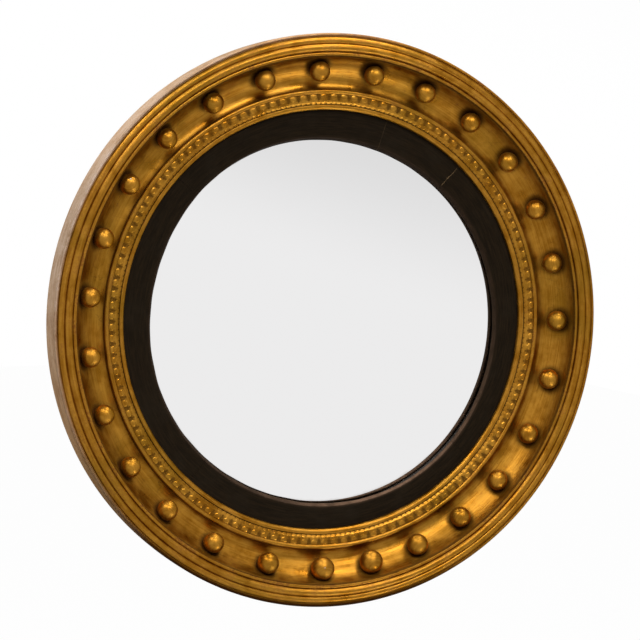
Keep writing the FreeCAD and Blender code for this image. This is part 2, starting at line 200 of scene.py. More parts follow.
def ring_piece(name, points, first=0.0, sweep=360.0, steps=RING_STEPS, reach=1.5, move=None, tint=None):
    """Solid ring or part of a ring; move and tint get (angle, radius, depth) arrays."""
    whole = sweep > 359.9
    rows = steps if whole else steps + 1
    angle = math.radians(first) + math.radians(sweep) * np.arange(rows) / steps
    size = len(points)
    turn = np.repeat(angle[:, None], size, axis=1)
    radius = np.repeat(points[None, :, 0], rows, axis=0)
    depth = np.repeat(points[None, :, 1], rows, axis=0)
    stands = np.repeat(standing_out(points, reach)[None, :], rows, axis=0)
    # The dirt value darkens grooves with dirt and painted shade; the rub value wears crowns and edges.
    values = {"dirt": np.clip(-stands, 0, 1), "rub": np.clip(stands, 0, 1)}
    if tint:
        values.update(tint(turn, radius, depth, values))
    if move:
        radius, depth = move(turn, radius, depth)
    vertices = polar(radius, turn, depth).reshape(-1, 3)
    here = np.arange(steps)[:, None] * size + np.arange(size)[None, :]
    there = (np.arange(1, steps + 1)[:, None] % rows) * size + np.arange(size)[None, :]
    quads = np.stack([here, np.roll(here, -1, axis=1), np.roll(there, -1, axis=1), there], axis=-1)
    faces = quads.reshape(-1, 4).tolist()
    if not whole:
        faces.append(list(range(size))[::-1])
        faces.append([steps * size + k for k in range(size)])
    area = np.sum(points[:, 0] * np.roll(points[:, 1], -1) - points[:, 1] * np.roll(points[:, 0], -1))
    if area > 0:
        faces = [face[::-1] for face in faces]
    return finish_mesh(name, vertices, faces, values)


def stands_for(piece, nodes, material):
    piece.data.materials.append(material)
    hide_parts(*nodes)
    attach(piece, ROOT)
    return piece


# Material graphs --------------------------------------------------------------------------

class Graph:
    """One material with a Principled shader, and short calls that add nodes to it."""

    def __init__(self, name):
        self.material = bpy.data.materials.new(name)
        self.material.use_nodes = True
        self.tree = self.material.node_tree
        self.tree.nodes.clear()
        output = self.tree.nodes.new("ShaderNodeOutputMaterial")
        self.shader = self.tree.nodes.new("ShaderNodeBsdfPrincipled")
        self.tree.links.new(self.shader.outputs[0], output.inputs[0])
        self.place = self.node("ShaderNodeTexCoord").outputs["Object"]

    def node(self, kind, **settings):
        made = self.tree.nodes.new(kind)
        for key, value in settings.items():
            setattr(made, key, value)
        return made

    def put(self, socket, value):
        if isinstance(value, bpy.types.NodeSocket):
            self.tree.links.new(value, socket)
        elif isinstance(value, (tuple, list)) and len(value) == 3 and socket.type == "RGBA":
            socket.default_value = (*value, 1.0)
        else:
            socket.default_value = value

    def math(self, operation, a, b=0.0, clamp=False):
        made = self.node("ShaderNodeMath", operation=operation, use_clamp=clamp)
        self.put(made.inputs[0], a)
        self.put(made.inputs[1], b)
        return made.outputs[0]

    def vector(self, operation, a, b=None):
        made = self.node("ShaderNodeVectorMath", operation=operation)
        self.put(made.inputs[0], a)
        if b is not None:
            self.put(made.inputs[1], b)
        return made.outputs["Value" if operation in ("LENGTH", "DISTANCE") else "Vector"]

    def noise(self, scale, detail=4.0, roughness=0.55, at=None):
        made = self.node("ShaderNodeTexNoise")
        self.put(made.inputs["Vector"], self.place if at is None else at)
        made.inputs["Scale"].default_value = scale
        made.inputs["Detail"].default_value = detail
        made.inputs["Roughness"].default_value = roughness
        return made.outputs["Fac"]

    def cell_edges(self, scale, at):
        """Distance to the nearest edge of a pattern of random cells."""
        made = self.node("ShaderNodeTexVoronoi", feature="DISTANCE_TO_EDGE")
        self.put(made.inputs["Vector"], at)
        made.inputs["Scale"].default_value = scale
        return made.outputs["Distance"]

    def ramp(self, value, low, high, to_low=0.0, to_high=1.0):
        """Smooth step from low to high."""
        made = self.node("ShaderNodeMapRange", interpolation_type="SMOOTHSTEP")
        self.put(made.inputs["Value"], value)
        for key, number in (("From Min", low), ("From Max", high), ("To Min", to_low), ("To Max", to_high)):
            made.inputs[key].default_value = number
        return made.outputs[0]

    def mix(self, factor, a, b):
        made = self.node("ShaderNodeMix", data_type="RGBA")
        self.put(made.inputs[0], factor)
        self.put(made.inputs[6], a)
        self.put(made.inputs[7], b)
        return made.outputs[2]

    def blend(self, factor, a, b):
        made = self.node("ShaderNodeMix", data_type="FLOAT")
        self.put(made.inputs[0], factor)
        self.put(made.inputs[2], a)
        self.put(made.inputs[3], b)
        return made.outputs[0]

    def value(self, name):
        return self.node("ShaderNodeAttribute", attribute_name=name).outputs["Fac"]

    def parts(self, at=None):
        made = self.node("ShaderNodeSeparateXYZ")
        self.put(made.inputs[0], self.place if at is None else at)
        return made.outputs[0], made.outputs[1], made.outputs[2]

    def join(self, x, y, z):
        made = self.node("ShaderNodeCombineXYZ")
        for socket, value in zip(made.inputs, (x, y, z)):
            self.put(socket, value)
        return made.outputs[0]

    def stretched(self, parts, factors):
        """Coordinates, each times its own factor."""
        return self.join(*(self.math("MULTIPLY", part, factor) for part, factor in zip(parts, factors)))

    def round_the_ring(self, lengthwise, crosswise):
        """Coordinates that run along the ring slowly and across it fast, for strokes round the ring."""
        x, y, z = self.parts()
        radius = self.vector("LENGTH", self.join(x, 0.0, z))
        profile = self.math("SUBTRACT", radius, self.math("MULTIPLY", y, 1.7))
        inverse = self.math("DIVIDE", lengthwise, radius)
        return self.stretched((x, z, profile), (inverse, inverse, crosswise))

    def bump(self, height, strength, distance):
        made = self.node("ShaderNodeBump")
        made.inputs["Strength"].default_value = strength
        made.inputs["Distance"].default_value = distance
        self.put(made.inputs["Height"], height)
        self.put(self.shader.inputs["Normal"], made.outputs[0])

    def finish(self, colour, roughness, metallic=0.0, **constants):
        self.put(self.shader.inputs["Base Color"], colour)
        self.put(self.shader.inputs["Roughness"], roughness)
        self.put(self.shader.inputs["Metallic"], metallic)
        for key, value in constants.items():
            self.shader.inputs[key.replace("_", " ")].default_value = value
        return self.material


# Marks on the gilding: where the gesso shows white (angle, radius, depth, size in millimetres)
GESSO_MARKS = (
    (205.6, 249.0, 58.5, 1.5),
    (281.5, 241.0, 62.0, 1.6),
    (267.2, 240.0, 61.3, 0.9),
    (91.5, 236.0, 57.0, 1.2),
    (145.5, 246.5, 57.0, 0.9),
)

# Layers of the gilding; the grime colour also serves for painted shade, and the two pale gesso colours for
# a painted sheen
LEAF_BRIGHT = (0.37, 0.176, 0.022)
LEAF_DEEP = (0.205, 0.079, 0.005)
DULL_LEAF = (0.165, 0.090, 0.007)
RED_CLAY = (0.17, 0.055, 0.012)
GRIME_AND_SHADE = (0.034, 0.011, 0.002)
SHEEN_GESSO_DARK = (0.50, 0.36, 0.25)
SHEEN_GESSO_LIGHT = (0.66, 0.52, 0.42)
GESSO_CHIP = (0.80, 0.72, 0.58)
RAW_WOOD_DARK = (0.44, 0.27, 0.10)
RAW_WOOD_LIGHT = (0.60, 0.41, 0.18)
LEAF_METALLIC = 0.88
EDGE_TINT = (0.75, 0.50, 0.25, 1.0)


def gesso_chips(g, grain):
    """1 on each mark, with a ragged edge."""
    chips = 0.0
    for angle, radius, depth, size in GESSO_MARKS:
        spot = tuple(float(c) for c in polar(radius, math.radians(angle), depth) * MM)
        distance = g.vector("DISTANCE", g.place, spot)
        ragged = g.math("ADD", distance, g.math("MULTIPLY", g.math("SUBTRACT", grain, 0.5), 0.002))
        chips = g.math("MAXIMUM", g.ramp(ragged, size * MM * 0.8, size * MM, 1.0, 0.0), chips)
    return chips


def gilding(name, wear=1.0, dirt_shade_strength=1.0, roughness=0.32):
    """Worn leaf gilding: gold over red clay over gesso; darker with dirt and painted shade, and pale where
    a painted sheen is laid.
    """
    g = Graph(name)
    patches = g.noise(11.0, 3.0)
    cloudy = g.noise(60.0, 6.0, 0.62)
    grain = g.noise(420.0, 6.0, 0.6)
    strokes = g.noise(1.0, 5.0, 0.6, at=g.round_the_ring(7.0, 520.0))
    dirt = g.value("dirt")
    rub = g.value("rub")
    raw = g.value("raw")
    tone = g.math("ADD", g.math("MULTIPLY", cloudy, 0.55), g.math("MULTIPLY", strokes, 0.45))
    leaf = g.mix(g.ramp(tone, 0.36, 0.64), LEAF_DEEP, LEAF_BRIGHT)
    leaf = g.mix(g.ramp(patches, 0.46, 0.70, 0.0, 0.45), leaf, DULL_LEAF)
    uneven = g.math("ADD", g.math("MULTIPLY", cloudy, 0.6), g.math("MULTIPLY", grain, 0.4))
    rubbed = g.math("MULTIPLY", g.ramp(rub, 0.15, 0.75), g.ramp(uneven, 0.50, 0.60), clamp=True)
    rubbed = g.math("MULTIPLY", rubbed, 0.8 * wear)
    thin = g.ramp(g.noise(170.0, 5.0, 0.7), 0.60, 0.72, 0.0, 0.45 * wear)
    clay = g.math("MAXIMUM", rubbed, thin)
    # Dirt and painted shade: the vertex value darkens grooves and hollows, and paints shade beside the
    # balls, under the rim and low on the side.
    grime_and_shade = g.math("ADD", g.math("MULTIPLY", dirt, 1.25 * dirt_shade_strength), g.math("MULTIPLY", uneven, 0.5))
    grime_and_shade = g.ramp(grime_and_shade, 0.45, 1.05)
    specks = g.ramp(g.noise(700.0, 2.0), 0.69, 0.76, 0.0, 0.7)
    grime_and_shade = g.math("MAXIMUM", grime_and_shade, specks)
    wavering = g.vector("ADD", g.place, g.join(g.math("MULTIPLY", cloudy, 0.02), 0.0, 0.0))
    crackle = g.ramp(g.cell_edges(55.0, wavering), 0.0, 0.012, 1.0, 0.0)
    crackle = g.math("MULTIPLY", crackle, g.ramp(patches, 0.5, 0.6, 0.0, 0.35))
    grime_and_shade = g.math("MAXIMUM", grime_and_shade, crackle)
    colour = g.mix(clay, leaf, RED_CLAY)
    colour = g.mix(grime_and_shade, colour, GRIME_AND_SHADE)
    # Painted sheen: pale gesso colour where the side catches the light at the upper left.
    sheen_gesso = g.math("MULTIPLY", g.value("pale"), g.ramp(uneven, 0.34, 0.60, 0.55, 1.0))
    colour = g.mix(sheen_gesso, colour, g.mix(g.ramp(strokes, 0.35, 0.65), SHEEN_GESSO_DARK, SHEEN_GESSO_LIGHT))
    chips = gesso_chips(g, grain)
    colour = g.mix(chips, colour, GESSO_CHIP)
    fibres = g.noise(1.0, 5.0, 0.6, at=g.round_the_ring(9.0, 900.0))
    colour = g.mix(raw, colour, g.mix(fibres, RAW_WOOD_DARK, RAW_WOOD_LIGHT))
    metal = g.math("SUBTRACT", 1.0, g.math("MAXIMUM", g.math("MULTIPLY", clay, 0.8), grime_and_shade), clamp=True)
    matt = g.value("matt")
    bare = g.math("MAXIMUM", sheen_gesso, g.math("MULTIPLY", matt, 0.7))
    bare = g.math("MAXIMUM", g.math("MAXIMUM", raw, chips), bare)
    metal = g.math("MULTIPLY", metal, g.math("SUBTRACT", 1.0, bare, clamp=True))
    metal = g.math("MULTIPLY", metal, LEAF_METALLIC)
    rough = g.math("ADD", g.ramp(cloudy, 0.3, 0.7, roughness - 0.05, roughness + 0.12),
                   g.math("MULTIPLY", grime_and_shade, 0.35))
    rough = g.math("MAXIMUM", g.math("ADD", rough, g.math("MULTIPLY", bare, 0.35), clamp=True), matt)
    relief = g.math("ADD", g.math("MULTIPLY", cloudy, 0.5), g.math("MULTIPLY", strokes, 0.5))
    relief = g.math("ADD", relief, g.math("MULTIPLY", grain, 0.18))
    relief = g.math("SUBTRACT", relief, g.math("MULTIPLY", crackle, 0.4))
    relief = g.math("SUBTRACT", relief, g.math("MULTIPLY", chips, 0.6))
    g.bump(relief, 0.28, 0.0007)
    return g.finish(colour, rough, metal, Specular_IOR_Level=0.05, Specular_Tint=EDGE_TINT)


# Lines across the slip, a pale joint and a hairline (angle, half width in metres, strength)
SLIP_LINES = ((SLIP_FIRST_JOINT, 0.00042, 0.9), (HAIRLINE_ANGLE, 0.00014, 0.25))


def slip_lines(g):
    """The lines' strength at each place; they waver and are broken."""
    x, _, z = g.parts()
    wander = g.math("MULTIPLY", g.math("SUBTRACT", g.noise(38.0, 3.0), 0.5), 0.0015)
    lines = 0.0
    for angle, half_width, strength in SLIP_LINES:
        turn = math.radians(angle)
        cosine, sine = math.cos(turn), math.sin(turn)
        aside = g.math("SUBTRACT", g.math("MULTIPLY", z, cosine), g.math("MULTIPLY", x, sine))
        aside = g.math("ABSOLUTE", g.math("ADD", aside, wander))
        forward = g.math("ADD", g.math("MULTIPLY", x, cosine), g.math("MULTIPLY", z, sine))
        line = g.ramp(aside, half_width * 0.5, half_width, strength, 0.0)
        line = g.math("MULTIPLY", line, g.ramp(forward, 0.0, 0.01))
        line = g.math("MULTIPLY", line, g.ramp(g.noise(90.0, 3.0), 0.34, 0.52))
        lines = g.math("MAXIMUM", line, lines)
    return lines


def ebonised():
    """Black slip: thin stain and wax over wood, worn brown at the sight edge."""
    g = Graph("ebonised_slip")
    grain = g.noise(1.0, 5.0, 0.6, at=g.round_the_ring(10.0, 650.0))
    cloudy = g.noise(45.0, 5.0, 0.6)
    rub = g.value("rub")
    edge = g.value("edge")
    black = g.mix(g.ramp(grain, 0.35, 0.7), (0.0072, 0.0046, 0.0021), (0.0160, 0.0098, 0.0046))
    black = g.mix(g.ramp(cloudy, 0.45, 0.75, 0.0, 0.5), black, (0.0180, 0.0130, 0.0080))
    brown = g.math("MULTIPLY", g.math("MAXIMUM", edge, g.math("MULTIPLY", rub, 0.15)),
                   g.ramp(g.noise(70.0, 4.0, 0.5), 0.30, 0.60, 0.55, 1.0))
    colour = g.mix(brown, black, (0.150, 0.088, 0.055))
    lines = slip_lines(g)
    colour = g.mix(lines, colour, (0.26, 0.17, 0.085))
    rough = g.ramp(cloudy, 0.3, 0.7, 0.55, 0.72)
    relief = g.math("SUBTRACT", g.math("MULTIPLY", grain, 0.6), lines)
    g.bump(relief, 0.22, 0.0005)
    return g.finish(colour, rough, 0.0, Specular_IOR_Level=0.04)


def silvered_glass():
    """Silvering seen through the glass, darker in a narrow band at its edge beside the slip."""
    g = Graph("silvered_glass")
    x, _, z = g.parts()
    radius = g.vector("LENGTH", g.join(x, 0.0, z))
    edge = g.math("ADD", radius, g.math("MULTIPLY", g.math("SUBTRACT", g.noise(60.0, 5.0), 0.5), 0.006))
    edge_band = g.ramp(edge, (SIGHT_R - 2.5) * MM, (SIGHT_R + 2.0) * MM)
    colour = g.mix(edge_band, (0.840, 0.836, 0.838), (0.62, 0.61, 0.60))
    back = g.ramp(g.value("back"), 0.4, 0.6)
    colour = g.mix(back, colour, (0.07, 0.05, 0.04))
    metal = g.math("SUBTRACT", 1.0, back)
    rough = g.math("MULTIPLY", back, 0.6)
    g.bump(g.noise(18.0, 2.0), 0.04, 0.0004)
    return g.finish(colour, rough, metal)


def pine(name, turn=0.0, light=(0.50, 0.315, 0.15), dark=(0.27, 0.145, 0.06), board=0.0):
    """Old pine with its grain along Z after turning it about Y, dusty, with saw marks."""
    g = Graph(name)
    mapping = g.node("ShaderNodeMapping")
    g.put(mapping.inputs["Vector"], g.place)
    mapping.inputs["Rotation"].default_value = (0.0, math.radians(turn), 0.0)
    x, y, z = g.parts(mapping.outputs[0])
    x = g.math("ADD", x, board)
    bend = g.math("MULTIPLY", g.noise(4.0, 1.0, at=g.stretched((x, y, z), (2.0, 1.0, 1.0))), 0.03)
    across = g.math("ADD", x, bend)
    rings = g.noise(1.0, 2.0, 0.5, at=g.stretched((across, y, z), (230.0, 120.0, 1.6)))
    fibres = g.noise(1.0, 4.0, 0.6, at=g.stretched((across, y, z), (900.0, 900.0, 14.0)))
    stain = g.noise(9.0, 5.0, 0.6)
    colour = g.mix(g.ramp(rings, 0.42, 0.68, 0.0, 0.7), light, dark)
    colour = g.mix(g.math("MULTIPLY", fibres, 0.45), colour, tuple(0.55 * c for c in dark))
    colour = g.mix(g.ramp(stain, 0.42, 0.72, 0.0, 0.55), colour, (0.13, 0.085, 0.05))
    dust = g.ramp(g.noise(120.0, 6.0, 0.7), 0.52, 0.72, 0.0, 0.25)
    colour = g.mix(dust, colour, (0.52, 0.46, 0.38))
    saw = g.noise(1.0, 2.0, 0.5, at=g.stretched((x, y, z), (6.0, 1.0, 420.0)))
    relief = g.math("ADD", g.math("MULTIPLY", fibres, 0.6), g.math("MULTIPLY", saw, 0.5))
    g.bump(relief, 0.4, 0.0005)
    return g.finish(colour, g.ramp(stain, 0.3, 0.7, 0.72, 0.9), 0.0, Specular_IOR_Level=0.3)


def old_metal(name, bright, dull):
    """Tarnished hardware: bright where it is handled, dull and spotted elsewhere."""
    g = Graph(name)
    cloudy = g.noise(160.0, 6.0, 0.65)
    spots = g.noise(900.0, 3.0, 0.6)
    patina = g.math("ADD", g.math("MULTIPLY", cloudy, 0.7), g.math("MULTIPLY", spots, 0.3))
    tarnish = g.ramp(patina, 0.40, 0.66)
    colour = g.mix(tarnish, bright, dull)
    metal = g.blend(tarnish, 1.0, 0.55)
    g.bump(g.math("ADD", cloudy, g.math("MULTIPLY", spots, 0.4)), 0.25, 0.0002)
    return g.finish(colour, g.ramp(cloudy, 0.3, 0.7, 0.34, 0.59), metal)


def felt():
    g = Graph("dark_felt")
    fluff = g.noise(1500.0, 6.0, 0.7)
    colour = g.mix(fluff, (0.02, 0.018, 0.016), (0.06, 0.052, 0.045))
    g.bump(fluff, 0.6, 0.0004)
    return g.finish(colour, 0.95)


# Pieces -----------------------------------------------------------------------------------

def raw_wood(is_bare):
    """Tint function: raw is 1 where the test on (radius, depth) says that no gold was laid."""
    def tint(angle, radius, depth, values):
        return {"raw": is_bare(radius, depth).astype(float)}
    return tint


def sway(seed, outward, forward):
    """Slight unevenness of a turned and gessoed ring; it only ever moves inwards and back."""
    slow = harmonics(seed, 2, 9, 5)
    slow_depth = harmonics(seed + 1, 2, 9, 5)
    quick_wave = harmonics(seed + 2, 24, 110, 14)

    def move(angle, radius, depth):
        aside = slow(angle, 0.0) - 1.0 + 0.35 * (quick_wave(angle, depth) - 1.0)
        back = slow_depth(angle, 0.0) - 1.0 + 0.35 * (quick_wave(angle, radius) - 1.0)
        return radius + outward * aside, depth + forward * back
    return move


def make_rim(gold):
    """Two reeds, a thin bead and the plain side, from the cove's edge outwards."""
    points = section(
        (CARCASS_R, RIM_BACK_DEPTH),
        (CARCASS_R, BEAD_OUTER_DEPTH),
        ((265.0, 64.6), (268.7, 62.0)),
        ((272.0, 63.3), (275.0, 61.0)),
        (275.4, 60.0),
        (275.9, 60.0),
        (276.2, 60.5),
        ((277.6, 61.5), (278.9, 60.2)),
        ((RIM_R, 48.0), (278.5, RIM_BACK_DEPTH)),
    )

    def tint(angle, radius, depth, values):
        """The side is matt; at the upper left it takes pale gesso colour as a painted sheen, and at the
        bottom it is darkened as painted shade.
        """
        in_front = depth > RIM_BACK_DEPTH + 0.2
        side = np.clip((radius - 275.2) / 1.5, 0.0, 1.0) * in_front
        # worn marks the upper left, where the side catches the light: a painted sheen in pale gesso colour.
        worn = np.clip(1.25 - np.abs(np.degrees(angle) - 150.0) / 62.0, 0.0, 1.0)
        # low marks the bottom of the side, which is darkened as painted shade.
        low = np.clip(1.5 - np.abs(np.degrees(angle) - 258.0) / 48.0, 0.0, 1.0)
        return {
            "pale": 0.85 * worn * side,
            "matt": side * np.clip(1.6 - np.abs(np.degrees(angle) - 200.0) / 75.0, 0.5, 1.0),
            "dirt": np.clip(np.maximum(0.3 * values["dirt"], 0.62 * low * side), 0.0, 1.0),
            "raw": (~in_front | (radius < CARCASS_R + 0.3) & (depth < 60.0)).astype(float),
        }
    piece = ring_piece("gilt_reeded_rim", points, reach=1.7, move=sway(11, 0.10, 0.08), tint=tint)
    return stands_for(piece, ["reeded_rim"], gold)


def hollow(angle):
    """Point of the cove's arc at an angle from its foot, in radians."""
    return (COVE_CENTRE[0] + COVE_RADIUS * math.sin(angle), COVE_CENTRE[1] - COVE_RADIUS * math.cos(angle))


def ball_places():
    """Angle and radius in millimetres of each ball in its order, from the frame."""
    places = []
    for number in range(1, BALL_COUNT + 1):
        low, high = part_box("ball_%02d" % number)
        middle = (low + high) / 2.0
        angle = math.atan2(middle.z, middle.x)
        places.append((angle, (high.y - low.y) / 2.0 / MM))
    return places


def make_cove(gold):
    """Hollow ring; its gilded surface rises again, as a shallow scoop, towards the inner moulding."""
    top = math.acos((COVE_CENTRE[1] - COVE_TOP_DEPTH) / COVE_RADIUS)
    points = section(
        (COVE_FOOT_R, CARCASS_DEPTH),
        (COVE_FOOT_R, SLIP_PLANE + SCOOP_RISE),
        ((230.4, SLIP_PLANE + 2.0), hollow(SCOOP_END)),
        (hollow(top / 2.0), hollow(top)),
        ((258.9, 62.2), (CARCASS_R, BEAD_OUTER_DEPTH)),
        (CARCASS_R, CARCASS_DEPTH),
    )
    centres = [polar(np.array(BALL_RING_R), angle, np.array(BALL_DEPTH)) for angle, _ in ball_places()]

    def tint(angle, radius, depth, values):
        place = polar(radius, angle, depth)
        near = np.full(radius.shape, 1e6)
        for centre in centres:
            near = np.minimum(near, np.linalg.norm(place - centre, axis=-1))
        # Painted shade: darker beside each ball, at the cove's foot by the moulding and under the rim's
        # edge.
        ball_shade = np.clip((23.0 - near) / 11.0, 0.0, 1.0) ** 1.4
        foot = np.clip(1.0 - (radius - COVE_FOOT_R) / 2.0, 0.0, 1.0) * (depth > 30.0)
        rim_shade = 0.5 * np.clip((depth - 54.0) / 6.0, 0.0, 1.0) * (radius < 257.5)
        shade = np.maximum(np.maximum(0.55 * ball_shade, 0.5 * foot), rim_shade)
        bare = (radius > CARCASS_R - 0.3) & (depth < 60.0) | (depth < CARCASS_DEPTH + 0.3)
        return {
            "dirt": np.clip(np.maximum(values["dirt"] * 0.8, shade), 0, 1),
            "raw": bare.astype(float),
        }
    piece = ring_piece("gilt_cove", points, reach=1.6, move=sway(21, 0.08, 0.10), tint=tint)
    return stands_for(piece, ["cove_ring"], gold)


def make_moulding(gold):
    """A rounded fillet on each side of the flat seat for the ornament."""
    points = section(
        (LIP_R, SLIP_PLANE),
        (LIP_R, SLIP_PLANE + 1.2),
        ((207.6, SLIP_PLANE + 4.3), (210.5, SLIP_PLANE + 4.6)),
        (211.2, STRIP_SEAT_DEPTH),
        (221.3, STRIP_SEAT_DEPTH),
        (221.3, SLIP_PLANE + 6.8),
        ((223.6, SLIP_PLANE + 7.9), (225.8, SLIP_PLANE + 6.6)),
        (COVE_FOOT_R, SLIP_PLANE + 6.0),
        (COVE_FOOT_R, CARCASS_DEPTH),
        (212.0, CARCASS_DEPTH),
        (212.0, SLIP_PLANE),
    )
    bare = raw_wood(lambda radius, depth: depth < SLIP_PLANE - 0.2)
    piece = ring_piece("gilt_inner_moulding", points, reach=1.0, move=sway(31, 0.06, 0.06), tint=bare)
    return stands_for(piece, ["inner_moulding"], gold)


def leaf_relief(s, t):
    """Height in millimetres of the pressed leaf border; s runs along one repeat, t from inner to outer."""
    s = (s + 0.5) % 1.0 - 0.5
    side = 0.5 - np.abs(s)
    tongue = np.sqrt((s / 0.30) ** 2 + ((t - 0.74) / 0.27) ** 2)
    crown = 0.80 * np.sqrt(np.clip(1.0 - tongue ** 2, 0.0, 1.0))
    stem = 0.50 * np.exp(-(s / 0.13) ** 2) * np.exp(-((t - 0.40) / 0.17) ** 2)
    gap = -0.45 * np.exp(-(side / 0.10) ** 2) * np.clip((t - 0.50) / 0.15, 0.0, 1.0)
    dart = 0.45 * np.exp(-(side / 0.045) ** 2) * np.clip((t - 0.66) / 0.15, 0.0, 1.0)
    petal = 0.42 * np.exp(-((t - 0.24) / 0.16) ** 2)
    diamond = -0.60 * np.clip(1.0 - side / 0.17 - np.abs(t - 0.42) / 0.17, 0.0, 1.0)
    quarter = np.abs((s * 2.0 + 0.5) % 1.0 - 0.5) * 0.5
    notch = -0.35 * np.exp(-((quarter - 0.25) / 0.06) ** 2 - ((t - 0.06) / 0.11) ** 2)
    return crown + stem + gap + dart + petal + diamond + notch


def make_ornament(gold):
    inner = (STRIP_INNER_R, SLIP_PLANE + 4.3)
    outer = (STRIP_OUTER_R, SLIP_PLANE + 6.2)
    top = [inner] + [tuple(p) for p in sample_arc(inner, (216.0, SLIP_PLANE + 6.0), outer, 0.38)]
    points = np.array([(STRIP_INNER_R, STRIP_SEAT_DEPTH)] + top + [(STRIP_OUTER_R, STRIP_SEAT_DEPTH)])
    sweep = 360.0 / STRIP_COUNT
    repeat = math.radians(sweep / STRIP_REPEATS)
    samples = 20
    uneven = harmonics(47, 3, 60, 9)

    for number in range(STRIP_COUNT):
        first = STRIP_FIRST_JOINT + number * sweep

        def heights(angle, radius, depth):
            s = (angle - math.radians(first)) / repeat - 0.5
            t = (radius - STRIP_INNER_R) / (STRIP_OUTER_R - STRIP_INNER_R)
            strength = 0.92 + 0.10 * uneven(angle, radius * 0.3)
            return leaf_relief(s, t) * strength * (depth > STRIP_SEAT_DEPTH + 0.1)

        def move(angle, radius, depth):
            return radius, depth + 0.85 * heights(angle, radius, depth)

        def tint(angle, radius, depth, values):
            height = heights(angle, radius, depth)
            # The leaf's hollows are darker, with dirt and painted shade; its tops are rubbed.
            return {"dirt": np.clip((0.36 - height) / 0.8, 0.0, 0.55),
                    "rub": np.clip((height - 0.75) / 0.6, 0.0, 1.0)}

        piece = ring_piece("gilt_leaf_strip_%d" % (number + 1), points, first, sweep,
                           STRIP_REPEATS * samples, move=move, tint=tint)
        stands_for(piece, ["ornament_strip_%d" % (number + 1)], gold)


def on_cove(point, sink):
    """The point of the cove's surface behind a point, in millimetres, sunk into the wood a little."""
    radius = math.hypot(point[0], point[2])
    aside = np.array([radius - COVE_CENTRE[0], -point[1] - COVE_CENTRE[1]])
    aside *= (COVE_RADIUS + sink) / np.linalg.norm(aside)
    scale = (COVE_CENTRE[0] + aside[0]) / radius
    return np.array([point[0] * scale, -(COVE_CENTRE[1] + aside[1]), point[2] * scale])


def make_ball(number, angle, ball_radius, gold):
    """A turned, gessoed and gilded ball with a soft fillet of gesso where it meets the cove."""
    rng = np.random.RandomState(500 + number)
    centre = polar(np.array(BALL_RING_R), angle, np.array(BALL_DEPTH))
    inward = np.array([COVE_CENTRE[0] - BALL_RING_R, COVE_CENTRE[1] - BALL_DEPTH])
    inward /= np.linalg.norm(inward)
    top = np.array([inward[0] * math.cos(angle), -inward[1], inward[0] * math.sin(angle)])
    side = np.array([-math.sin(angle), 0.0, math.cos(angle)])
    other = np.cross(top, side)
    flat = COVE_RADIUS - math.hypot(BALL_RING_R - COVE_CENTRE[0], BALL_DEPTH - COVE_CENTRE[1])
    leave = math.radians(128.0)
    lean = [rng.normal(0.0, 1.0, 3) for _ in range(4)]
    around, down, skirt = 64, 34, 7

    def skin(direction):
        """Point of the ball's surface, which is a little uneven."""
        lump = sum(0.006 * math.cos(2.0 * float(direction @ v) + k) for k, v in enumerate(lean))
        return centre + direction * ball_radius * (BALL_SKIN + lump)

    rows = []
    for j in range(1, down + skirt + 1):
        row = []
        for i in range(around):
            phi = math.tau * i / around
            lateral = side * math.cos(phi) + other * math.sin(phi)
            if j <= down:
                a = leave * j / down
                point = skin(top * math.cos(a) + lateral * math.sin(a))
            else:
                u = (j - down) / skirt
                start = skin(top * math.cos(leave) + lateral * math.sin(leave))
                reach = ball_radius * 0.80 + 1.0 + 0.35 * math.cos(3.0 * phi + number)
                end = on_cove(centre - top * flat + lateral * reach, 0.12)
                bend = centre - top * (flat - 0.35) + lateral * (ball_radius * 0.70)
                point = (1 - u) ** 2 * start + 2 * u * (1 - u) * bend + u ** 2 * end
            row.append(point)
        rows.append(row)
    pole = centre + top * ball_radius * BALL_SKIN
    bottom = centre - top * (flat + 0.3)
    vertices = np.array([pole] + [p for row in rows for p in row] + [bottom])
    last = len(rows) - 1
    faces = [[0, 1 + i, 1 + (i + 1) % around] for i in range(around)]
    for j in range(last):
        for i in range(around):
            a, b = 1 + j * around + i, 1 + j * around + (i + 1) % around
            faces.append([a, a + around, b + around, b])
    faces += [[1 + last * around + i, len(vertices) - 1, 1 + last * around + (i + 1) % around]
              for i in range(around)]
    steps_down = np.arange(1, down + skirt + 1) / (down + skirt)
    below = np.concatenate([[0.0], np.repeat(steps_down, around), [1.0]])
    values = {
        # The dirt value here is painted shade, darker towards where the ball meets the cove; the rub value
        # is wear at the outer pole.
        "dirt": np.clip((below - 0.55) / 0.45, 0.0, 0.7),
        "rub": np.clip(0.55 - below, 0.0, 1.0) * 0.5,
        "raw": np.zeros(len(below)),
    }
    piece = finish_mesh("gilt_ball_%02d" % number, vertices, faces, values, 80.0)
    return stands_for(piece, ["ball_%02d" % number], gold)


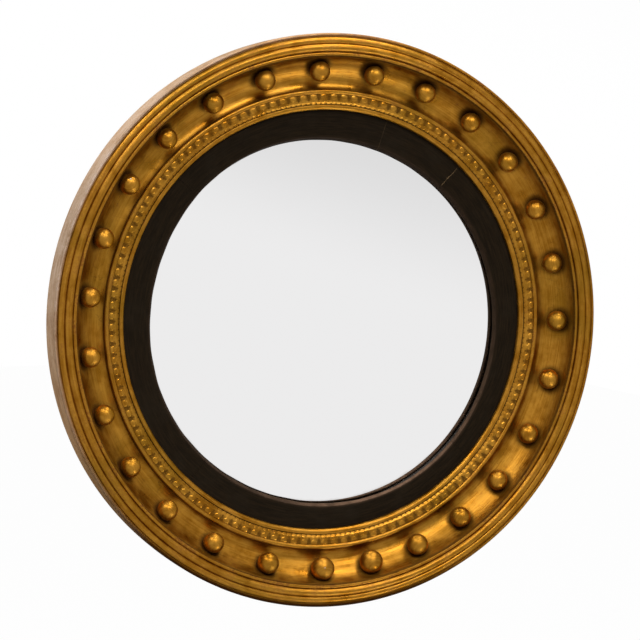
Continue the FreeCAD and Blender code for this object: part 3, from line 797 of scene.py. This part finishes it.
def make_slip(black):
    points = section(
        (SIGHT_R, 26.1),
        (SIGHT_R, 27.5),
        ((SIGHT_R + 0.1, 27.8), (SIGHT_R + 0.3, 28.2)),
        (BEVEL_R - 0.2, 30.6),
        ((BEVEL_R + 0.1, 30.9), (BEVEL_R + 0.6, 31.0)),
        (LIP_R, SLIP_PLANE - 0.6),
        (211.8, SLIP_PLANE - 0.1),
        (211.8, CARCASS_DEPTH),
        (190.5, CARCASS_DEPTH),
    )
    uneven = harmonics(61, 5, 40, 7)

    def move(angle, radius, depth):
        """Carries the sight edge and the bevel to the oval opening that was bevelled by hand."""
        turn = angle - math.radians(OPENING_LONG_AXIS)
        aside = OPENING_CENTRE[0] * np.cos(angle) + OPENING_CENTRE[1] * np.sin(angle)
        by_hand = 0.7 * np.cos(3.0 * (angle + 0.33)) + 0.9 * np.cos(4.0 * (angle - 0.49))
        sight = aside + 2.1 * np.cos(2.0 * turn) + by_hand + 0.35 * uneven(angle, 0.0)
        bevel = aside + 1.4 * np.cos(2.0 * turn) + 0.6 * by_hand
        down = np.clip((BEVEL_R - radius) / (BEVEL_R - SIGHT_R), 0.0, 1.0)
        fading = np.clip((LIP_R - radius) / (LIP_R - BEVEL_R), 0.0, 1.0)
        shift = fading * (down * sight + (1.0 - down) * bevel)
        return radius + shift, depth + 0.1 * shift * (depth > 30.8)

    def tint(angle, radius, depth, values):
        worn = 0.12 + 0.88 * np.exp(-(((np.degrees(angle) - 292.0 + 180.0) % 360.0 - 180.0) / 38.0) ** 2)
        return {"edge": worn * np.clip(1.6 - np.abs(radius - 180.9) / 1.2, 0.0, 1.0) * (depth > 26.5)}

    sweep = 360.0 / SLIP_COUNT
    for number in range(SLIP_COUNT):
        first = SLIP_FIRST_JOINT + number * sweep
        piece = ring_piece("black_slip_%d" % (number + 1), points, first + SLIP_JOINT_GAP / 2.0,
                           sweep - SLIP_JOINT_GAP, RING_STEPS // SLIP_COUNT, reach=0.8,
                           move=move, tint=tint)
        stands_for(piece, ["slip_segment_%d" % (number + 1)], black)


def make_glass(silver):
    """Round convex plate, silvered on its back; its edge lies hidden behind the slip."""
    around, rings = 256, 60

    def surface(apex, sphere, edge_r):
        rows = []
        for j in range(1, rings + 1):
            r = edge_r * j / rings
            depth = apex - sphere + math.sqrt(sphere ** 2 - r ** 2)
            turn = np.arange(around) * math.tau / around
            rows.append(polar(np.full(around, r), turn, np.full(around, depth)))
        return np.vstack([polar(np.zeros(1), np.zeros(1), np.full(1, apex))] + rows)

    def fan(offset, front):
        faces = [[offset, offset + 1 + i, offset + 1 + (i + 1) % around] for i in range(around)]
        for j in range(rings - 1):
            for i in range(around):
                a = offset + 1 + j * around + i
                b = offset + 1 + j * around + (i + 1) % around
                faces.append([a, a + around, b + around, b])
        return faces if front else [face[::-1] for face in faces]

    front = surface(GLASS_APEX_DEPTH, GLASS_SPHERE_R, GLASS_R)
    back = surface(GLASS_APEX_DEPTH - GLASS_THICKNESS, GLASS_SPHERE_R - GLASS_THICKNESS, GLASS_R)
    size = len(front)
    faces = fan(0, True) + fan(size, False)
    edge = size - around
    for i in range(around):
        a, b = edge + i, edge + (i + 1) % around
        faces.append([a, a + size, b + size, b])
    values = {"back": np.concatenate([np.zeros(size), np.ones(size)])}
    piece = finish_mesh("convex_glass", np.vstack([front, back]), faces, values)
    return stands_for(piece, ["mirror_glass"], silver)


def dress_node(node, material):
    """A CAD piece keeps its shape and gets a finished material."""
    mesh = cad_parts[node].data
    mesh.materials.clear()
    mesh.materials.append(material)


def dress_hidden_pieces():
    for number in range(6):
        material = pine("carcass_pine_%d" % (number + 1), turn=number * 60.0 + 60.0)
        dress_node("carcass_segment_%d" % (number + 1), material)
    for number, name in enumerate(("left", "centre", "right")):
        planks = pine("plank_pine_%s" % name, light=(0.40, 0.24, 0.11), dark=(0.20, 0.105, 0.045),
                      board=0.31 * (number + 1))
        dress_node("backboard_%s" % name, planks)
    dress_node("glass_blocks", pine("block_pine", turn=90.0))
    dress_node("glass_packing", felt())
    steel = old_metal("dull_steel", (0.33, 0.31, 0.29), (0.10, 0.065, 0.045))
    for name in ("slip_brads", "ball_pins", "backboard_screws"):
        dress_node(name, steel)
    brass = old_metal("tarnished_brass", (0.60, 0.42, 0.17), (0.16, 0.095, 0.035))
    for name in ("hanger_strap_left", "hanger_strap_right", "hanger_ring_left", "hanger_ring_right",
                 "hanger_screws"):
        dress_node(name, brass)


# Stage ------------------------------------------------------------------------------------

def make_camera():
    """The photograph's view: from the left and a little above, with a long lens."""
    azimuth, elevation, distance = math.radians(-20.13), math.radians(4.49), 2.064
    back = Vector((math.sin(azimuth) * math.cos(elevation), -math.cos(azimuth) * math.cos(elevation),
                   math.sin(elevation)))
    data = bpy.data.cameras.new("camera")
    data.sensor_width = 36.0
    data.lens = 118.3
    data.shift_x = -0.0108
    data.shift_y = 0.0010
    camera = bpy.data.objects.new("camera", data)
    camera.location = Vector((0.0, -SLIP_PLANE * MM, 0.0)) + back * distance
    camera.rotation_mode = "QUATERNION"
    camera.rotation_quaternion = (-back).to_track_quat("-Z", "Y")
    bpy.context.scene.collection.objects.link(camera)
    bpy.context.scene.camera = camera


def make_lamp(name, place, size, power, colour=(1.0, 1.0, 1.0)):
    data = bpy.data.lights.new(name, "AREA")
    data.shape = "RECTANGLE"
    data.size, data.size_y = size
    data.energy = power
    data.color = colour
    lamp = bpy.data.objects.new(name, data)
    lamp.location = place
    lamp.rotation_mode = "QUATERNION"
    lamp.rotation_quaternion = (-Vector(place)).to_track_quat("-Z", "Y")
    bpy.context.scene.collection.objects.link(lamp)


def make_world():
    """One white background all round for the camera, in metal and in glass, a little greyer overhead;
    a weaker even light for matt surfaces."""
    world = bpy.data.worlds.new("studio")
    bpy.context.scene.world = world
    world.use_nodes = True
    tree = world.node_tree
    tree.nodes.clear()

    def brighter(first, second):
        made = tree.nodes.new("ShaderNodeMath")
        made.operation = "MAXIMUM"
        tree.links.new(first, made.inputs[0])
        tree.links.new(second, made.inputs[1])
        return made.outputs[0]

    rays = tree.nodes.new("ShaderNodeLightPath").outputs
    sky = tree.nodes.new("ShaderNodeTexCoord")
    overhead = tree.nodes.new("ShaderNodeVectorMath")
    overhead.operation = "DOT_PRODUCT"
    overhead.inputs[1].default_value = OVERHEAD
    tree.links.new(sky.outputs["Generated"], overhead.inputs[0])
    white = tree.nodes.new("ShaderNodeMapRange")
    white.interpolation_type = "SMOOTHSTEP"
    tree.links.new(overhead.outputs["Value"], white.inputs["Value"])
    limits = (("From Min", 0.16), ("From Max", 0.60), ("To Min", 1.0), ("To Max", OVERHEAD_WHITE))
    for key, number in limits:
        white.inputs[key].default_value = number
    shown = brighter(rays["Is Camera Ray"], rays["Is Glossy Ray"])
    shown = brighter(shown, rays["Is Transmission Ray"])
    choice = tree.nodes.new("ShaderNodeMix")
    choice.inputs[2].default_value = WORLD_LIGHT
    tree.links.new(shown, choice.inputs[0])
    tree.links.new(white.outputs[0], choice.inputs[3])
    background = tree.nodes.new("ShaderNodeBackground")
    background.inputs["Color"].default_value = (1.0, 1.0, 1.0, 1.0)
    tree.links.new(choice.outputs[0], background.inputs["Strength"])
    output = tree.nodes.new("ShaderNodeOutputWorld")
    tree.links.new(background.outputs[0], output.inputs[0])


def make_floor():
    """Pale floor well below the hanging mirror; nearly white to the camera, it keeps a faint shadow."""
    mesh = bpy.data.meshes.new("floor")
    level, half_width, near, far = -0.95, 4.0, -0.55, 9.0
    mesh.from_pydata([(-half_width, near, level), (half_width, near, level), (half_width, far, level),
                      (-half_width, far, level)], [], [(0, 1, 2, 3)])
    floor = bpy.data.objects.new("floor", mesh)
    bpy.context.scene.collection.objects.link(floor)
    g = Graph("pale_floor")
    tree = g.tree
    output = next(n for n in tree.nodes if n.type == "OUTPUT_MATERIAL")
    g.finish((0.86, 0.86, 0.85), 0.9)
    glow = g.node("ShaderNodeEmission")
    glow.inputs["Strength"].default_value = 1.0
    rays = g.node("ShaderNodeLightPath")
    shown = g.math("MAXIMUM", rays.outputs["Is Camera Ray"], rays.outputs["Is Glossy Ray"])
    shown = g.math("MAXIMUM", shown, rays.outputs["Is Transmission Ray"])
    shown = g.math("MULTIPLY", shown, FLOOR_SHOWN_WHITE)
    blend = g.node("ShaderNodeMixShader")
    tree.links.new(shown, blend.inputs[0])
    tree.links.new(g.shader.outputs[0], blend.inputs[1])
    tree.links.new(glow.outputs[0], blend.inputs[2])
    tree.links.new(blend.outputs[0], output.inputs[0])
    mesh.materials.append(g.material)


def build():
    make_camera()
    make_world()
    make_floor()
    make_lamp("top", (0.75, -0.25, 2.0), (0.9, 0.6), 30.0, (1.0, 0.98, 0.95))
    make_lamp("front", (0.2, -1.75, 1.5), (1.5, 0.45), 30.0, (1.0, 0.98, 0.95))
    make_lamp("low_right", (0.55, -0.65, -1.25), (0.5, 0.5), 13.0)
    make_lamp("left", (-1.2, -0.9, 1.9), (0.9, 0.6), 23.0, (1.0, 0.98, 0.95))
    make_lamp("rear", (-1.3, 2.3, 0.9), (1.2, 1.2), 36.0)
    bpy.context.scene.view_settings.view_transform = "Standard"
    gold = gilding("worn_gilding")
    make_rim(gold)
    make_cove(gold)
    make_moulding(gold)
    make_ornament(gilding("gilt_leaf_border", dirt_shade_strength=0.8, roughness=0.28))
    ball_gold = gilding("gilt_ball_surface", wear=0.6, dirt_shade_strength=0.9, roughness=0.34)
    for number, (angle, radius) in enumerate(ball_places(), start=1):
        make_ball(number, angle, radius, ball_gold)
    make_slip(ebonised())
    make_glass(silvered_glass())
    dress_hidden_pieces()


build()
